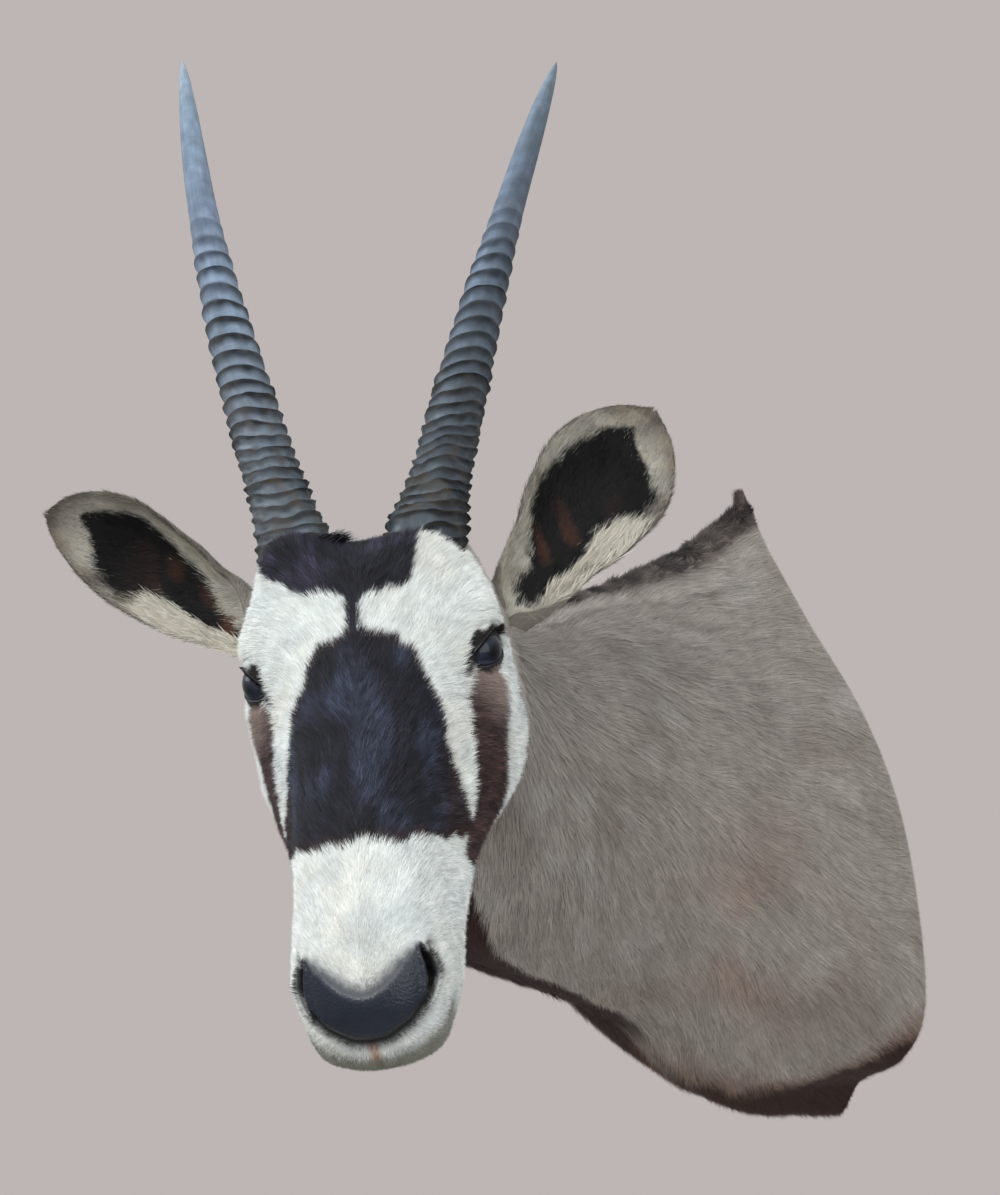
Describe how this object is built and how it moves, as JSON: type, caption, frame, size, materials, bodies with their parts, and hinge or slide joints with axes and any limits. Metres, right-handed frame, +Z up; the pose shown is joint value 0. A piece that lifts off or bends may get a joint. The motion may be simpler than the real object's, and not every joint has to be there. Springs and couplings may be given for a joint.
{
  "type": "antelope shoulder mount",
  "caption": "Wall-hung taxidermy mount of a long-horned antelope's head, neck and shoulder, with the head turned to one side; it hangs flat on a wall from a keyhole plate.",
  "frame": {"origin": "centre of the back board's rear face, in the plane of the wall", "axes": "+Y into the wall, -Y the way the neck stands out of it, +Z up, +X the animal's left"},
  "size_m": [0.7658, 0.7843, 1.0835],
  "materials": {
    "hide": "short haired tanned hide, grey-tan neck, black and white face",
    "horn": "ringed keratin horn, satin, dark at the root and blue-grey at the tip",
    "ear_hide": "thin haired skin, dark inside with pale rim hair",
    "eye_glass": "polished dark glass eye",
    "plywood": "bare sanded plywood",
    "steel": "zinc plated"
  },
  "bodies": {
    "root": {"hide_on_form": "hide", "horn_left": "horn", "horn_right": "horn", "ear_left": "ear_hide", "ear_right": "ear_hide", "eye_left": "eye_glass", "eye_right": "eye_glass", "back_board": "plywood", "hanger_plate": "steel", "hanger_screw_1": "steel", "hanger_screw_2": "steel", "board_screw_1": "steel", "board_screw_2": "steel", "board_screw_3": "steel", "board_screw_4": "steel"}
  },
  "joints": []
}
